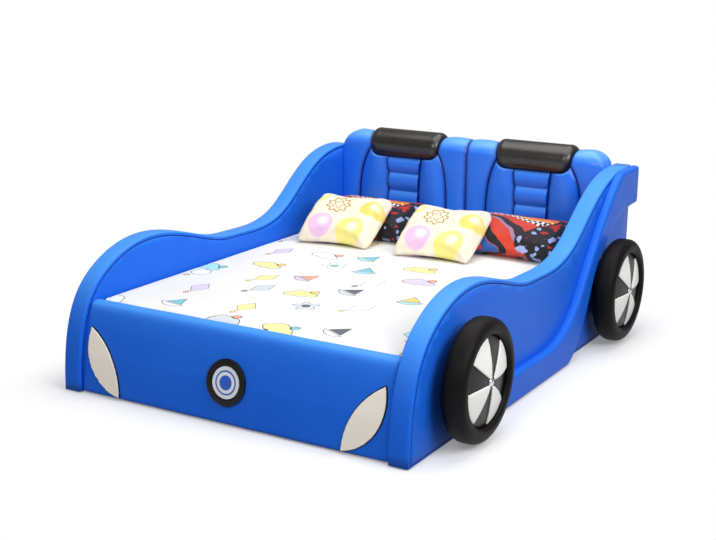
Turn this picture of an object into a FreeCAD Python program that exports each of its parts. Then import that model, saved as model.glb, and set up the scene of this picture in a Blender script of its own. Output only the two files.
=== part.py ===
import FreeCAD, Part
import math
import os

# A children's double bed shaped like a sports car: upholstered side panels, padded wheels on the
# side that faces the room, a low footboard, a headboard sewn like two car seats, slats, mattress
# and pillows. Millimetres. +X is the right-hand side, +Y points to the head end and +Z up.
# The bed is drawn with X = 0 in its own middle, and each piece is then moved so that the origin
# lies on the floor under the middle of the whole, wheels included.

V = FreeCAD.Vector

# ---------------------------------------------------------------- overall sizes
length = 2330.0              # side panels, nose to tail
mattress_width = 1500.0
mattress_length = 2000.0
mattress_depth = 200.0
side_clearance = 10.0        # mattress to each side panel
end_clearance = 5.0          # mattress to footboard and headboard
slat_top = 195.0             # height of the surface under the mattress
panel_thickness = 90.0       # upholstered side panel
padding = 14.0               # foam and leather over a wooden core
glide_height = 6.0           # the boards stand this far off the floor
under_floor = -100.0         # outlines reach down to here and are trimmed at the glides' height
joint_gap = 0.5              # between upholstered pieces that lie on each other
seam_gap = 1.5               # between neighbouring upholstered fields

# ---------------------------------------------------------------- side panel outline
hood_height = 607.0
waist_height = 486.0
tail_height = 820.0
tail_flat = 81.0             # level end of the top edge, at the tail
tail_drop = {"left": 45.0, "right": 0.0}  # how far the top edge falls at the tail
rise_lead = {"left": 36.0, "right": 0.0}  # how much nearer the waist the rise to the tail starts
hood_from_nose = 529.0       # hood top, measured back from the nose
waist_from_tail = 1081.0     # waist, measured forward from the tail
hood_poles = [(0.0, 0.573), (0.374, 0.927), (1.078, 1.06)]  # shares of hood_from_nose and of hood_height
waist_poles = [(-226.0, -2.0), (-99.0, 12.0)]  # Y and Z from the waist
rise_from_waist = 370.0      # the two poles that bend the edge up to the tail
rise_dip = 20.0
rise_from_tail = 403.0
edge_round = 11.0            # soft edge of the panel

# ---------------------------------------------------------------- fender pad (raised swoosh)
fender_proud = 45.0
fender_round = 14.0
sill_height = 138.0
sill_nose_from_front = 590.0  # front end of the sill, under the front wheel
tail_block_drop = 188.0       # height of the tail block at its rear end
sill_ridge = [(-1138.0, 0.0), (-828.0, -2.0), (-574.0, -5.0)]  # Y from the rear axle, Z from sill_height
rise_ridge = [(-378.0, 149.0), (-342.0, 226.0)]  # where the ridge swoops up, from the same two
ridge_at_tail = (296.0, 202.0)  # Y of the last two poles, before the tail
block_length = 225.0          # level underside of the tail block
block_root = (7.0, 80.0)      # Y from the rear axle and Z below the block
arch_bow = 16.0               # the arch's poles stand this far off the curve
arch_lean = 20.0
arch_above_hub = (115.0, 2.0)
sill_end = (411.0, 516.0)     # Y of the sill's last two poles, before the rear axle
sill_nose_depth = 60.0        # the sill's rounded front end
sill_nose_height = 60.0
sill_nose_middle = (18.0, 0.72)

# ---------------------------------------------------------------- wheels
tyre_radius = 250.0
tyre_hole_radius = 184.0
tyre_width = 106.0
tyre_floor_gap = 15.0
tread_round = 40.0
bead_round = 22.0
front_axle_from_nose = 381.0
rear_axle_from_tail = 365.0
wheel_board_radius = 130.0
arch_clearance = 63.0         # from the wheel's board to the fender pad's rear edge
disc_recess = 38.0            # edge of the disc behind the tyre's face
disc_crown = 39.0
petal_thickness = 7.0
petal_gap = 6.0               # from a petal to the tyre and to the hub
petal_count = 4
petal_turn = 27.0             # degrees from level to the first petal's middle line
petal_half_angle = 24.5       # degrees, at the rim
petal_middle_angle = 25.0     # degrees, half way in
petal_hub_angle = 15.0        # degrees, at the hub
hub_radius = 17.0
hub_height = 9.0

# ---------------------------------------------------------------- footboard
foot_height = 395.0
foot_base_depth = 135.0
foot_set_back = 14.0          # its foot behind the panels' noses
foot_lean = 85.0              # how far its top leans back
foot_core_depth = 60.0
foot_top_round = 24.0
lamp_proud = 14.0
lamp_top = (724.0, 298.0)     # X and Z of the lamp's points and of its two bulges
lamp_bottom = (548.0, 12.0)
lamp_inner = (592.0, 172.0)
lamp_outer = (708.0, 124.0)
blank_reach = 100.0           # what is cut from the front layer starts this far ahead of it
badge_radius = 98.0
badge_hole_radius = 66.0
badge_height = 182.0
badge_proud = 16.0
badge_disc_share = 0.6        # the disc's height, as a share of the ring's

# ---------------------------------------------------------------- headboard
head_core_depth = 80.0
pad_limit = 52.0              # the deepest pad over the core
wing_crown = 38.0
wing_side = 31.0
bolster_side = 26.0
rib_crown = 47.0
rib_seam = 30.0
rib_pitch = 97.0
field_reach = 50.0            # the ribs are cut to their seams from this far in front
head_pad_crown = 54.0
head_pad_shoulder = 46.0      # how far in from its ends the pad reaches its full depth
head_top = 890.0              # top of the blue fields
head_foot = 320.0             # the fields' lower edge, behind the mattress
head_steps = 6                # sections of a loft, up the front and again over the top
head_corner_round = 104.0
head_pad_center = 376.0
head_pad_half = 216.0
head_pad_taper = 0.07         # the pad is narrower by this share down on the front
head_pad_foot = 765.0
head_pad_cuff = 12.0          # depth of the pad at its sides, where it ends low on the front
head_pad_lip = 26.0           # and at its middle
rib_top_channel = 84.0        # the channel under the head pad is a little lower
back_cover_depth = 10.0
bolster_outer_x = 652.0       # seams at the mattress, where the seat is widest
bolster_inner_x = 115.0
rib_outer_x = 463.0
rib_inner_x = 287.0
rib_spread = 22.0             # the rib field widens by this at the head pad

# ---------------------------------------------------------------- structure
rail_width = 30.0
rail_height = 40.0
slat_thickness = 15.0
slat_width = 80.0
slat_count = 14
slat_clearance = 1.0          # slat to side panel
beam_width = 60.0
beam_height = 60.0
leg_size = 50.0
leg_count = 3
bracket_leg = 60.0
bracket_height = 100.0
bracket_foot = 30.0
bracket_gauge = 4.0
bolt_radius = 4.0
bolt_clearance = 0.4
bolt_length = 46.0
bolt_head_radius = 7.5
bolt_head_height = 5.0
bolt_spacing = 60.0
bolt_from_corner = 36.0
wheel_bolt_bite = 28.0        # how far a wheel's bolt runs into its board
glide_radius = 18.0
glides_per_side = 4
glide_from_end = 120.0

# ---------------------------------------------------------------- bedding
mattress_round = 28.0
pillow_width = 600.0
pillow_height = 480.0
pillow_thickness = 130.0
cushion_width = 460.0
cushion_height = 430.0
cushion_thickness = 108.0
pillow_pinch = 14.0           # how far a pillow's long sides draw in at the middle
cushion_pinch = 12.0
pillow_edge = 8.0             # thickness of the sewn edge
pillow_center = 424.0
pillow_tilt = 9.0
cushion_tilt = 27.0
cushion_yaw = {"left": 6.0, "right": 4.0}
cushion_places = {"left": -440.0, "right": 125.0}
rest_gap = 0.6                # between soft pieces that rest on each other

# ---------------------------------------------------------------- places worked out from the sizes
nose = -length / 2
tail = length / 2
inner_x = mattress_width / 2 + side_clearance
outer_x = inner_x + panel_thickness
wheel_back_x = outer_x + fender_proud
foot_front = nose + foot_set_back
foot_back = foot_front + foot_base_depth
mattress_front = foot_back + end_clearance
mattress_rear = mattress_front + mattress_length
head_face = mattress_rear + end_clearance
core_front = head_face + pad_limit
core_back = core_front + head_core_depth
roll_radius = head_core_depth / 2
roll_y = core_front + roll_radius
roll_z = head_top - wing_crown - roll_radius
mattress_top = slat_top + mattress_depth
slat_bottom = slat_top - slat_thickness
board_half = inner_x - joint_gap
axles = {
    "front": nose + front_axle_from_nose,
    "rear": tail - rear_axle_from_tail,
}
sides = {"left": -1, "right": 1}
hub_seat = tyre_width - disc_recess + disc_crown + joint_gap
wheel_reach = wheel_back_x + max(tyre_width, hub_seat + hub_height)
middle_shift = V((outer_x - wheel_reach) / 2, 0, 0)


# ---------------------------------------------------------------- helpers
def box(x0, x1, y0, y1, z0, z1):
    return Part.makeBox(x1 - x0, y1 - y0, z1 - z0, V(x0, y0, z0))


def spline(points, start, end):
    curve = Part.BSplineCurve()
    curve.interpolate(Points=points, InitialTangent=start, FinalTangent=end)
    return curve.toShape()


def smooth(poles):
    """Smooth curve drawn towards its control points."""
    curve = Part.BSplineCurve()
    curve.buildFromPoles(poles, False, 3)
    return curve.toShape()


def line(a, b):
    return Part.LineSegment(a, b).toShape()


def arc(a, middle, b):
    return Part.Arc(a, middle, b).toShape()


def prism(edges, direction):
    return Part.Face(Part.Wire(Part.__sortEdges__(edges))).extrude(direction)


def mirror(shape):
    return shape.mirror(V(0, 0, 0), V(1, 0, 0))


def on_side(shape, side):
    return shape if sides[side] > 0 else mirror(shape)


def above_glides(shape):
    tall = box(-2 * outer_x, 2 * outer_x, 2 * nose, 2 * tail, glide_height, 3 * head_top)
    return shape.common(tall)


def soften(shape, radius, wanted):
    edges = [edge for edge in shape.Edges if wanted(edge)]
    return shape.makeFillet(radius, edges)


def save(name, shape):
    solids = shape.translated(middle_shift).Solids
    result = solids[0] if len(solids) == 1 else Part.makeCompound(solids)
    result.exportStep("parts/" + name + ".step")
    return result


# ---------------------------------------------------------------- side panels
def side_outline(side, inset):
    """Closed outline in the YZ plane at X = 0, reaching below the floor to be trimmed there.

    With an inset it is the outline of the wooden core, drawn in on all sides.
    """
    waist_y = tail - waist_from_tail
    tail_end = (tail, tail_height - tail_drop[side])
    poles = [(nose, 0)]
    poles += [(nose + far * hood_from_nose, high * hood_height) for far, high in hood_poles]
    poles += [(waist_y + far, waist_height + high) for far, high in waist_poles]
    poles += [
        (waist_y + rise_from_waist - rise_lead[side], waist_height - rise_dip),
        (tail - rise_from_tail - rise_lead[side], tail_height),
        (tail - tail_flat, tail_height),
    ]
    if tail_drop[side] > 0:
        poles.append(tail_end)
    shrink = (length - 2 * inset) / length

    def at(y, z):
        return V(0, y * shrink, z - inset)

    edges = [
        line(at(tail, under_floor), at(nose, under_floor)),
        line(at(nose, under_floor), at(nose, 0)),
        smooth([at(y, z) for y, z in poles]),
        line(at(*tail_end), at(tail, under_floor)),
    ]
    if poles[-1] != tail_end:
        edges.append(line(at(*poles[-1]), at(*tail_end)))
    return edges


def side_cover_and_core(side):
    """Drawn on the right; the left pair is turned over to its side afterwards."""
    cover = prism(side_outline(side, 0), V(panel_thickness, 0, 0))
    cover = soften(cover, edge_round, is_rim_edge)
    cover.translate(V(inner_x, 0, 0))
    core = prism(side_outline(side, padding), V(panel_thickness - 2 * padding, 0, 0))
    core.translate(V(inner_x + padding, 0, 0))
    core = above_glides(core)
    return above_glides(cover).cut(core), core


def is_rim_edge(edge):
    """Long edges of the extruded panel along its top, nose and tail, on both faces."""
    bounds = edge.BoundBox
    flat = bounds.XLength < 0.01
    return flat and bounds.ZMax > 0.0 and bounds.ZLength + bounds.YLength > 1.0


def fender_outline():
    """Closed outline of the raised swoosh in the YZ plane."""
    sill_front = nose + sill_nose_from_front
    axle = axles["rear"]
    drop = tail_height - tail_block_drop
    hub = tyre_radius + tyre_floor_gap
    arch = axle - wheel_board_radius - arch_clearance - arch_bow
    ridge = [V(0, sill_front, sill_height)]
    ridge += [V(0, axle + far, sill_height + high) for far, high in sill_ridge + rise_ridge]
    ridge += [V(0, tail - far, tail_height) for far in ridge_at_tail]
    lower = [
        V(0, tail, drop),
        V(0, tail - block_length, drop),
        V(0, axle + block_root[0], drop - block_root[1]),
        V(0, arch, hub + arch_above_hub[0]),
        V(0, arch - arch_lean, hub + arch_above_hub[1]),
    ]
    lower += [V(0, axle - far, 0) for far in sill_end]
    nose_y = sill_front - sill_nose_depth
    round_y = nose_y + sill_nose_middle[0]
    round_z = sill_nose_height + sill_nose_middle[1] * (sill_height - sill_nose_height)
    return [
        smooth(ridge),
        line(ridge[-1], V(0, tail, tail_height)),
        line(V(0, tail, tail_height), lower[0]),
        smooth(lower),
        line(lower[-1], V(0, lower[-1].y, under_floor)),
        line(V(0, lower[-1].y, under_floor), V(0, nose_y, under_floor)),
        line(V(0, nose_y, under_floor), V(0, nose_y, sill_nose_height)),
        arc(V(0, nose_y, sill_nose_height), V(0, round_y, round_z), ridge[0]),
    ]


def fender_pad():
    pad = prism(fender_outline(), V(fender_proud - joint_gap, 0, 0))
    outer_face = fender_proud - joint_gap

    def on_outer_face(edge):
        return edge.BoundBox.XMin > outer_face - 0.01 and edge.BoundBox.ZMax > 0

    pad = soften(pad, fender_round, on_outer_face)
    pad.translate(V(outer_x + joint_gap, 0, 0))
    return above_glides(pad)


# ---------------------------------------------------------------- wheels, built round X = 0 at the back
def rounded_ring():
    """Half section of the tyre in the XZ plane, turned round the X axis."""
    r0 = tyre_hole_radius
    r1 = tyre_radius
    w = tyre_width
    t = tread_round
    b = bead_round
    k = 1 - math.sqrt(0.5)
    return [
        line(V(b, 0, r0), V(w - b, 0, r0)),
        arc(V(w - b, 0, r0), V(w - b * k, 0, r0 + b * k), V(w, 0, r0 + b)),
        line(V(w, 0, r0 + b), V(w, 0, r1 - t)),
        arc(V(w, 0, r1 - t), V(w - t * k, 0, r1 - t * k), V(w - t, 0, r1)),
        line(V(w - t, 0, r1), V(t, 0, r1)),
        arc(V(t, 0, r1), V(t * k, 0, r1 - t * k), V(0, 0, r1 - t)),
        line(V(0, 0, r1 - t), V(0, 0, r0 + b)),
        arc(V(0, 0, r0 + b), V(b * k, 0, r0 + b * k), V(b, 0, r0)),
    ]


def turned(edges):
    face = Part.Face(Part.Wire(Part.__sortEdges__(edges)))
    return face.revolve(V(0, 0, 0), V(1, 0, 0), 360)


def domed(back_x, rim_x, radius, rise):
    """Round body on the X axis: flat back, straight rim and a face that is part of a ball."""
    ball = (radius ** 2 + rise ** 2) / (2 * rise)
    half = radius / 2
    half_rise = rise - ball + math.sqrt(ball ** 2 - half ** 2)
    edges = [
        line(V(back_x, 0, 0), V(back_x, 0, radius)),
        arc(V(rim_x, 0, radius), V(rim_x + half_rise, 0, half), V(rim_x + rise, 0, 0)),
        line(V(rim_x + rise, 0, 0), V(back_x, 0, 0)),
    ]
    if rim_x > back_x:
        edges.append(line(V(back_x, 0, radius), V(rim_x, 0, radius)))
    return turned(edges)


def wheel_face(lift):
    """Domed disc that fills the tyre; lift moves its face outwards."""
    rim_x = tyre_width - disc_recess + lift
    return domed(joint_gap, rim_x, tyre_hole_radius - joint_gap, disc_crown)


def petal_blank(turn):
    """Prism of one white petal: narrow at the hub, wide at the rim, with bowed flanks."""
    r = tyre_hole_radius - petal_gap
    start = hub_radius + petal_gap

    def at(radius, angle):
        a = math.radians(angle)
        return V(0, radius * math.cos(a), radius * math.sin(a))

    left_rim = at(r, turn + petal_half_angle)
    right_rim = at(r, turn - petal_half_angle)
    left_hub = at(start, turn + petal_hub_angle)
    right_hub = at(start, turn - petal_hub_angle)
    middle = (r + start) / 2
    return prism([
        arc(left_hub, at(middle, turn + petal_middle_angle), left_rim),
        arc(left_rim, at(r, turn), right_rim),
        arc(right_rim, at(middle, turn - petal_middle_angle), right_hub),
        line(right_hub, left_hub),
    ], V(2 * tyre_width, 0, 0))


def wheel(axle_y):
    """The pieces of one right-hand wheel, in place."""
    disc = wheel_face(0)
    skin = wheel_face(petal_thickness).cut(disc)
    petals = []
    for index in range(petal_count):
        petals.append(skin.common(petal_blank(petal_turn + 360 / petal_count * index)))
    hub = domed(hub_seat, hub_seat, hub_radius, hub_height)
    board = Part.makeCylinder(wheel_board_radius, fender_proud - joint_gap,
                              V(-fender_proud + joint_gap / 2, 0, 0), V(1, 0, 0))
    pieces = {
        "wheel_board": board,
        "tyre": turned(rounded_ring()),
        "wheel_disc": disc,
        "wheel_petals": Part.makeCompound(petals),
        "wheel_hub": hub,
    }
    place = V(wheel_back_x, axle_y, tyre_radius + tyre_floor_gap)
    for piece in pieces.values():
        piece.translate(place)
    return pieces


# ---------------------------------------------------------------- footboard
def foot_profile():
    """Side view: upright back, front that leans back in a gentle bow and a soft top."""
    top_front = foot_front + foot_lean
    top_y = top_front + foot_top_round
    return [
        line(V(0, foot_back, 0), V(0, foot_back, foot_height - foot_top_round / 2)),
        arc(V(0, foot_back, foot_height - foot_top_round / 2),
            V(0, foot_back - foot_top_round * 0.2, foot_height - foot_top_round * 0.15),
            V(0, foot_back - foot_top_round / 2, foot_height)),
        line(V(0, foot_back - foot_top_round / 2, foot_height), V(0, top_y, foot_height)),
        spline([
            V(0, top_y, foot_height),
            V(0, foot_front + 0.74 * foot_lean, 0.90 * foot_height),
            V(0, foot_front + 0.30 * foot_lean, 0.52 * foot_height),
            V(0, foot_front, 0),
        ], V(0, -1, 0), V(0, -0.1, -1)),
        line(V(0, foot_front, 0), V(0, foot_back, 0)),
    ]


def footboard_body():
    body = prism(foot_profile(), V(2 * board_half, 0, 0))
    body.translate(V(-board_half, 0, 0))
    return body


def footboard_core():
    top = foot_height - foot_lean
    return box(-board_half + padding, board_half - padding,
               foot_back - padding - foot_core_depth, foot_back - padding, glide_height, top)


def on_foot_face(blank, proud):
    """What the blank covers of a layer laid over the footboard's front."""
    body = footboard_body()
    layer = body.copy()
    layer.translate(V(0, -proud, 0))
    return blank.common(layer).cut(body)


def lamp_blank():
    ahead = foot_front - blank_reach
    top, bottom, inner, outer = (V(x, ahead, z) for x, z in (lamp_top, lamp_bottom, lamp_inner, lamp_outer))
    return prism([arc(bottom, inner, top), arc(top, outer, bottom)], V(0, blank_reach + foot_base_depth, 0))


def badge_blank(radius):
    centre = V(0, foot_front - blank_reach, badge_height)
    return Part.makeCylinder(radius, blank_reach + foot_base_depth, centre, V(0, 1, 0))


# ---------------------------------------------------------------- headboard
def head_station(height):
    """Front face of the core at a height, as a point and an outward direction."""
    return (V(0, core_front, height), V(0, -1, 0))


def roll_station(degrees):
    """The same on the round top edge: 0 is the front face, 90 the top and 180 the back."""
    a = math.radians(degrees)
    outward = V(0, -math.cos(a), math.sin(a))
    return (V(0, roll_y, roll_z) + outward * roll_radius, outward)


def pad_section(station, x0, x1, side, crown):
    """Pad cross-section: flat on the core, upright at both seams, crowned between them."""
    foot, outward = station

    def at(x, rise):
        return foot + outward * rise + V(x, 0, 0)

    return Part.Wire([
        line(at(x0, joint_gap), at(x0, side)),
        arc(at(x0, side), at((x0 + x1) / 2, crown), at(x1, side)),
        line(at(x1, side), at(x1, joint_gap)),
        line(at(x1, joint_gap), at(x0, joint_gap)),
    ])


def closing(height, top):
    """0 at the fields' foot, 1 at the top; most of the way is lost near the top."""
    return ((height - head_foot) / (top - head_foot)) ** 5


def pad_half(degrees):
    """Half width of the head pad at a station of the round top edge."""
    return head_pad_half * (1 - head_pad_taper * max(0.0, 1 - degrees / 90))


def seam(name, height):
    """X of a seam of the right-hand seat."""
    share = closing(height, roll_z)
    if name == "bolster_outer":
        return bolster_outer_x - (bolster_outer_x - head_pad_center - pad_half(0)) * share - seam_gap
    if name == "bolster_inner":
        return bolster_inner_x + (head_pad_center - pad_half(0) - bolster_inner_x) * share + seam_gap
    if name == "rib_outer":
        return rib_outer_x + rib_spread * share
    return rib_inner_x - rib_spread * share


def rounded_board(half, top):
    """Prism of the headboard's front view, with both upper corners rounded."""
    r = head_corner_round
    k = r * (1 - math.sqrt(0.5))
    edges = []
    for s in (-1, 1):
        edges.append(line(V(s * half, 0, 0), V(s * half, 0, top - r)))
        edges.append(arc(V(s * half, 0, top - r), V(s * (half - k), 0, top - k), V(s * (half - r), 0, top)))
    edges.append(line(V(-half, 0, 0), V(half, 0, 0)))
    edges.append(line(V(r - half, 0, top), V(half - r, 0, top)))
    return prism(edges, V(0, 2 * tail, 0))


def levels(low, high, steps):
    return [low + (high - low) * i / steps for i in range(steps + 1)]


def rolled_field(edge_x, seam_x, roll_seam_x):
    """A field that runs up the front, over the top and ends thin on the back.

    Its seam is given by height on the front and by degrees over the top.
    """
    front = []
    for height in levels(head_foot, roll_z, head_steps):
        front.append(pad_section(head_station(height), seam_x(height), edge_x, wing_side, wing_crown))
    over = []
    for degrees in levels(0, 180, head_steps):
        fade = 1.0 if degrees < 120 else (210 - degrees) / 90
        side = back_cover_depth + (wing_side - back_cover_depth) * fade
        crown = back_cover_depth + 4 + (wing_crown - back_cover_depth - 4) * fade
        over.append(pad_section(roll_station(degrees), roll_seam_x(degrees), edge_x, side, crown))
    return joined(front, over)


def joined(front, over):
    """One solid from the sections up the front and the sections over the top."""
    lower = Part.makeLoft(front, True, False)
    upper = Part.makeLoft(over, True, False)
    return lower.fuse(upper)


def head_end_cap(core):
    """Fills the wing's rounded corner and covers the core's end."""
    front_reach = roll_radius + wing_side
    back_reach = roll_radius + back_cover_depth
    mean_reach = (front_reach + back_reach) / 2
    k = math.sqrt(0.5)
    low = roll_z - head_corner_round / 2
    width = 1.2 * head_corner_round
    top = V(0, roll_y, roll_z + front_reach)
    cap = prism([
        line(V(0, roll_y - front_reach, low), V(0, roll_y - front_reach, roll_z)),
        arc(V(0, roll_y - front_reach, roll_z),
            V(0, roll_y - front_reach * k, roll_z + front_reach * k), top),
        arc(top, V(0, roll_y + mean_reach * k, roll_z + mean_reach * k), V(0, roll_y + back_reach, roll_z)),
        line(V(0, roll_y + back_reach, roll_z), V(0, core_back, roll_z)),
        line(V(0, core_back, roll_z), V(0, core_back, low)),
        line(V(0, core_back, low), V(0, roll_y - front_reach, low)),
    ], V(width, 0, 0))
    cap.translate(V(board_half - width, 0, 0))
    return cap.cut(core)


def head_wing(core):
    def roll_seam(degrees):
        return head_pad_center + pad_half(degrees) + 2 * seam_gap

    def seam_x(height):
        return roll_seam(0) + (bolster_outer_x + seam_gap - roll_seam(0)) * (1 - closing(height, roll_z))

    field = rolled_field(board_half, seam_x, roll_seam).fuse(head_end_cap(core))
    return field.common(rounded_board(board_half, head_top + 2))


def head_center():
    def roll_seam(degrees):
        return head_pad_center - pad_half(degrees) - 2 * seam_gap

    def seam_x(height):
        return roll_seam(0) - (roll_seam(0) - bolster_inner_x + seam_gap) * (1 - closing(height, roll_z))

    return rolled_field(seam_gap / 2, seam_x, roll_seam)


def head_pad_footprint():
    """Prism of the head pad's lower edge and rounded corners, as seen from the front."""
    corners = []
    for height, half, side, crown in head_pad_front():
        corners.append((half + 2 * seam_gap, height - seam_gap))
    corners.append((head_pad_half + 2 * seam_gap, head_top))
    outline = [V(head_pad_center - half, 0, z) for half, z in reversed(corners)]
    outline += [V(head_pad_center + half, 0, z) for half, z in corners]
    return prism([line(a, b) for a, b in zip(outline, outline[1:] + outline[:1])], V(0, 2 * tail, 0))


def seat_bolster(x0, x1):
    """Runs up beside the head pad's rounded corner."""
    sections = []
    for height in levels(head_foot, roll_z - seam_gap, head_steps):
        sections.append(pad_section(head_station(height), x0(height), x1(height), bolster_side, pad_limit))
    return Part.makeLoft(sections, True, False).cut(head_pad_footprint())


def rib_pad():
    """Channels stacked up the middle of a seat back, bounded by the two bolsters."""
    top = head_pad_foot - seam_gap
    heights = [top, top - rib_top_channel]
    while heights[-1] - rib_pitch > head_foot:
        heights.append(heights[-1] - rib_pitch)
    heights.append(head_foot)
    back = core_front - joint_gap
    face = core_front - rib_seam
    foot = heights[-1]
    edges = [line(V(0, back, foot), V(0, back, top)), line(V(0, back, top), V(0, face, top))]
    for upper, lower in zip(heights, heights[1:]):
        rise = (rib_crown - rib_seam) * min(1.0, (upper - lower) / rib_pitch)
        edges.append(arc(V(0, face, upper), V(0, face - rise, (upper + lower) / 2), V(0, face, lower)))
    edges.append(line(V(0, face, foot), V(0, back, foot)))
    stack = prism(edges, V(2 * board_half, 0, 0))
    heights = levels(head_foot, top, head_steps)
    ahead = head_face - field_reach
    outer = [V(seam("rib_outer", z) - seam_gap, ahead, z) for z in heights]
    inner = [V(seam("rib_inner", z) + seam_gap, ahead, z) for z in heights]
    field = prism([
        spline(outer, V(0, 0, 1), outer[-1] - outer[-2]),
        line(outer[-1], inner[-1]),
        spline(inner, V(0, 0, 1), inner[-1] - inner[-2]),
        line(inner[0], outer[0]),
    ], V(0, 4 * field_reach, 0))
    return stack.common(field)


def head_pad_front():
    """Height, half width, side and crown of the pad's sections on the front: a round corner."""
    rise = roll_z - head_pad_foot
    widest = pad_half(0)
    return [
        (head_pad_foot, 0.78 * widest, head_pad_cuff, head_pad_lip),
        (head_pad_foot + 0.16 * rise, 0.88 * widest, 20, 38),
        (head_pad_foot + 0.5 * rise, 0.97 * widest, 28, 0.88 * pad_limit),
        (roll_z, widest, 32, 0.94 * pad_limit),
    ]


def head_pad():
    """Black pad over the top edge; its front edge is thin and rounded at both corners."""
    over = [
        (0, 1.0, 32, 0.94 * pad_limit),
        (30, 1.0, 36, (pad_limit + head_pad_crown) / 2),
        (60, 1.0, 36, head_pad_crown),
        (90, 1.0, 34, head_pad_crown),
        (120, 1.0, 28, 0.85 * head_pad_crown),
        (150, 0.97, 16, 0.6 * head_pad_crown),
        (180, 0.92, 10, 18),
    ]
    lower = [head_pad_section(head_station(height), half, side, crown)
             for height, half, side, crown in head_pad_front()]
    upper = [head_pad_section(roll_station(angle), share * pad_half(angle), side, crown)
             for angle, share, side, crown in over]
    return joined(lower, upper)


def head_pad_section(station, half, side, crown):
    """Flat-topped section with round shoulders."""
    foot, outward = station
    x0 = head_pad_center - half
    x1 = head_pad_center + half
    shoulder = head_pad_shoulder
    bulge = side + 0.72 * (crown - side)

    def at(x, rise):
        return foot + outward * rise + V(x, 0, 0)

    return Part.Wire([
        line(at(x0, joint_gap), at(x0, side)),
        arc(at(x0, side), at(x0 + 0.3 * shoulder, bulge), at(x0 + shoulder, crown)),
        line(at(x0 + shoulder, crown), at(x1 - shoulder, crown)),
        arc(at(x1 - shoulder, crown), at(x1 - 0.3 * shoulder, bulge), at(x1, side)),
        line(at(x1, side), at(x1, joint_gap)),
        line(at(x1, joint_gap), at(x0, joint_gap)),
    ])


def headboard_core():
    edges = [
        line(V(0, core_front, glide_height), V(0, core_front, roll_z)),
        arc(V(0, core_front, roll_z), V(0, roll_y, roll_z + roll_radius), V(0, core_back, roll_z)),
        line(V(0, core_back, roll_z), V(0, core_back, glide_height)),
        line(V(0, core_back, glide_height), V(0, core_front, glide_height)),
    ]
    half = board_half - padding / 2
    board = prism(edges, V(2 * half, 0, 0))
    board.translate(V(-half, 0, 0))
    return board.common(rounded_board(half, roll_z + roll_radius))


def headboard_back_cover():
    half = board_half - joint_gap
    front = core_back + joint_gap
    return box(-half, half, front, core_back + back_cover_depth, glide_height, roll_z - joint_gap)


# ---------------------------------------------------------------- structure under the mattress
def slat_rail():
    return box(inner_x - rail_width, inner_x, foot_back, core_front, slat_bottom - rail_height, slat_bottom)


def center_beam():
    return box(-beam_width / 2, beam_width / 2, foot_back, core_front, slat_bottom - beam_height, slat_bottom)


def center_legs():
    legs = []
    span = core_front - foot_back
    for index in range(leg_count):
        y = foot_back + span * (index + 1) / (leg_count + 1)
        legs.append(box(-leg_size / 2, leg_size / 2, y - leg_size / 2, y + leg_size / 2,
                        0, slat_bottom - beam_height))
    return Part.makeCompound(legs)


def slats():
    boards = []
    half = inner_x - slat_clearance
    pitch = (mattress_length - slat_width) / (slat_count - 1)
    for index in range(slat_count):
        y = mattress_front + pitch * index
        boards.append(box(-half, half, y, y + slat_width, slat_bottom, slat_top))
    return Part.makeCompound(boards)


def corner_bracket(end_y, into):
    """Steel angle in the right-hand corner; into is +1 where the bed lies on the +Y side."""
    y1 = end_y + into * bracket_leg
    y2 = end_y + into * bracket_gauge
    z1 = bracket_foot + bracket_height
    long_leg = box(inner_x - bracket_gauge, inner_x, min(end_y, y1), max(end_y, y1), bracket_foot, z1)
    short_leg = box(inner_x - bracket_leg, inner_x, min(end_y, y2), max(end_y, y2), bracket_foot, z1)
    return long_leg.fuse(short_leg).removeSplitter()


def bolt(seat, direction, radius):
    """Round-headed bolt; seat is the point under its head and direction runs along the shank."""
    shank = Part.makeCylinder(radius, bolt_length, seat, direction)
    outside = seat - direction * bolt_head_height
    head = Part.makeCylinder(bolt_head_radius, bolt_head_height, outside, direction)
    return shank.fuse(head).removeSplitter()


def bolt_places():
    """Seat and direction of each right-hand bolt."""
    places = []
    middle = bracket_foot + bracket_height / 2
    for end_y, into in ((foot_back, 1), (core_front, -1)):
        for z in (middle - bolt_spacing / 2, middle + bolt_spacing / 2):
            places.append((V(inner_x - bracket_gauge, end_y + into * bolt_from_corner, z), V(1, 0, 0)))
            places.append((V(inner_x - bolt_from_corner, end_y + into * bracket_gauge, z), V(0, -into, 0)))
    return places


def wheel_bolt(axle_y, radius):
    """Bolt on the axle line, from inside the bed into the wheel's board."""
    seat = V(inner_x, axle_y, tyre_radius + tyre_floor_gap)
    length_in = panel_thickness + wheel_bolt_bite
    shank = Part.makeCylinder(radius, length_in, seat, V(1, 0, 0))
    head = Part.makeCylinder(bolt_head_radius, bolt_head_height, seat - V(bolt_head_height, 0, 0), V(1, 0, 0))
    return shank.fuse(head).removeSplitter()


def glides():
    places = []
    for y in levels(nose + glide_from_end, tail - glide_from_end, glides_per_side - 1):
        places.append((inner_x + panel_thickness / 2, y))
    places.append((0.5 * inner_x, foot_back - padding - foot_core_depth / 2))
    places.append((0.5 * inner_x, roll_y))
    feet = []
    for x, y in places:
        for s in (-1, 1):
            feet.append(Part.makeCylinder(glide_radius, glide_height, V(s * x, y, 0), V(0, 0, 1)))
    return Part.makeCompound(feet)


# ---------------------------------------------------------------- bedding
def mattress():
    half = mattress_width / 2
    body = box(-half, half, mattress_front, mattress_rear, slat_top, mattress_top)
    return body.makeFillet(mattress_round, body.Edges)


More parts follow.
